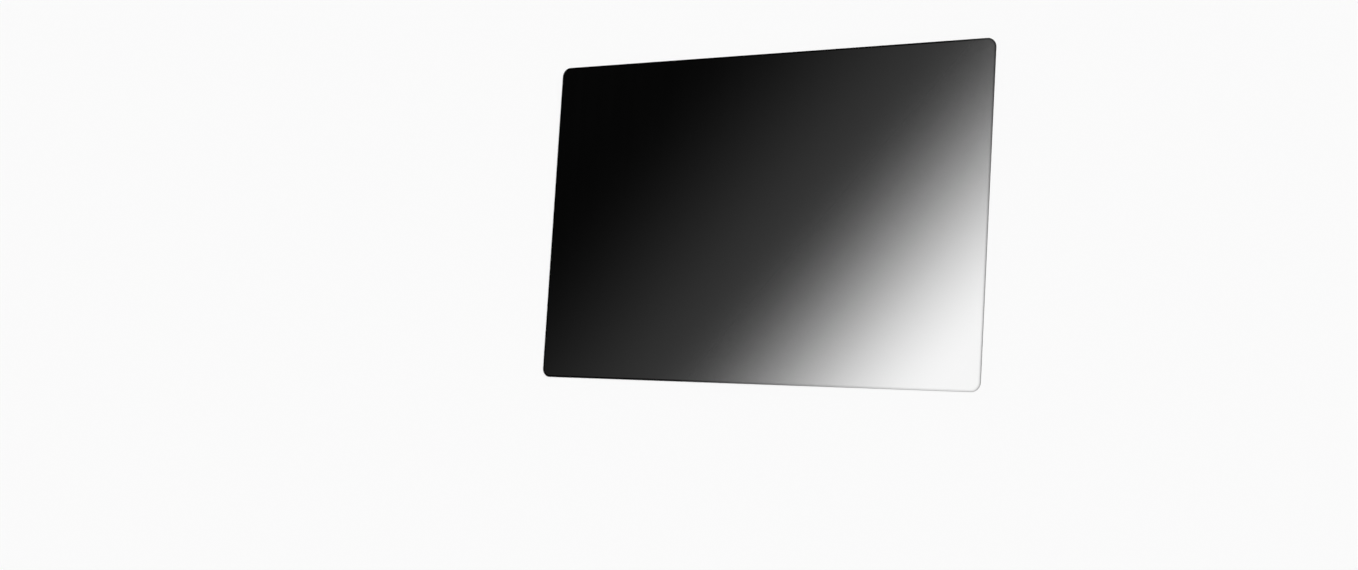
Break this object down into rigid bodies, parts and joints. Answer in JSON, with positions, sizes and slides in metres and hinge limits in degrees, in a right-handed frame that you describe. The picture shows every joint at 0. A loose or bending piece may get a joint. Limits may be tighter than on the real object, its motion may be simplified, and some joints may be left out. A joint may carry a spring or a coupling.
{
  "type": "laptop privacy filter",
  "caption": "Flat thin sheet of dark see-through film with small rounded corners, laid over a laptop display so that it can be read only from straight in front.",
  "frame": {"origin": "middle of the sheet's back, the face that lies against the display and that it rests on here", "axes": "+X along the width to the viewer's right, +Y along the height to the filter's top edge, +Z out of the viewing side"},
  "size_m": [0.285, 0.19, 0.0005],
  "materials": {
    "louvre_film": "smooth matte film, near black where it blocks the view and clear where it lets the view through"
  },
  "bodies": {
    "root": {"filter_sheet": "louvre_film"}
  },
  "joints": []
}
